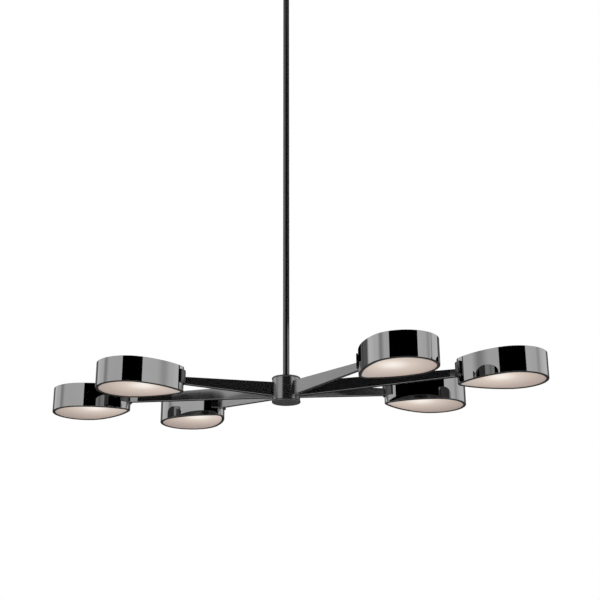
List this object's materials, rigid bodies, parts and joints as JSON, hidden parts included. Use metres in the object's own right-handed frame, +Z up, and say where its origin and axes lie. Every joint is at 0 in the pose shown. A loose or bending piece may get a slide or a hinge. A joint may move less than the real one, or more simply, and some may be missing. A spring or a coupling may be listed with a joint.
{
  "type": "multi arm chandelier",
  "caption": "Chandelier on a long stem with tapered arms from a round hub, each ending in a polished teardrop shade with a frosted plate below; it hangs from a canopy with a swivel.",
  "frame": {"origin": "centre of the ceiling plate, on the ceiling plane", "axes": "+Z up towards the ceiling, X along the two long arms and the outlet-box screws"},
  "size_m": [1.232, 0.53, 1.3589],
  "materials": {
    "black_nickel": "polished black nickel plate",
    "satin_black": "satin black",
    "frosted_glass": "frosted",
    "lamp_glass": "frosted capsule",
    "ceramic": "unglazed ceramic",
    "plated_steel": "zinc plate",
    "wire_sleeve": "fibre sleeve over two wires"
  },
  "bodies": {
    "ceiling_mount": {"ceiling_plate": "plated_steel", "canopy": "satin_black", "canopy_studs": "plated_steel", "cap_nuts": "satin_black", "ceiling_nipple": "plated_steel", "lock_nuts": "plated_steel"},
    "swivel": {"swivel_fork": "satin_black", "swivel_pin": "plated_steel"},
    "pendant": {"swivel_tongue": "satin_black", "upper_rod": "satin_black", "lower_rod": "satin_black", "rod_nipples": "plated_steel", "hub_top_lid": "satin_black", "hub_body": "satin_black", "hub_bottom_lid": "satin_black", "terminal_block": "ceramic", "wiring": "wire_sleeve", "saddle_screws": "plated_steel", "arm_1": "satin_black", "saddle_1": "satin_black", "shade_1": "black_nickel", "diffuser_1": "frosted_glass", "cover_1": "satin_black", "lampholder_1": "ceramic", "lamp_1": "lamp_glass", "arm_2": "satin_black", "saddle_2": "satin_black", "shade_2": "black_nickel", "diffuser_2": "frosted_glass", "cover_2": "satin_black", "lampholder_2": "ceramic", "lamp_2": "lamp_glass", "arm_3": "satin_black", "saddle_3": "satin_black", "shade_3": "black_nickel", "diffuser_3": "frosted_glass", "cover_3": "satin_black", "lampholder_3": "ceramic", "lamp_3": "lamp_glass", "arm_4": "satin_black", "saddle_4": "satin_black", "shade_4": "black_nickel", "diffuser_4": "frosted_glass", "cover_4": "satin_black", "lampholder_4": "ceramic", "lamp_4": "lamp_glass", "arm_5": "satin_black", "saddle_5": "satin_black", "shade_5": "black_nickel", "diffuser_5": "frosted_glass", "cover_5": "satin_black", "lampholder_5": "ceramic", "lamp_5": "lamp_glass", "arm_6": "satin_black", "saddle_6": "satin_black", "shade_6": "black_nickel", "diffuser_6": "frosted_glass", "cover_6": "satin_black", "lampholder_6": "ceramic", "lamp_6": "lamp_glass"}
  },
  "joints": [
    {"name": "swivel_turn", "type": "hinge", "parent": "ceiling_mount", "child": "swivel", "pos_m": [0, 0, -0.0257], "axis": [0, 0, 1], "range_deg": [-175, 175]},
    {"name": "stem_tilt", "type": "hinge", "parent": "swivel", "child": "pendant", "pos_m": [0, 0, -0.0497], "axis": [0, 1, 0], "range_deg": [-45, 45]}
  ]
}
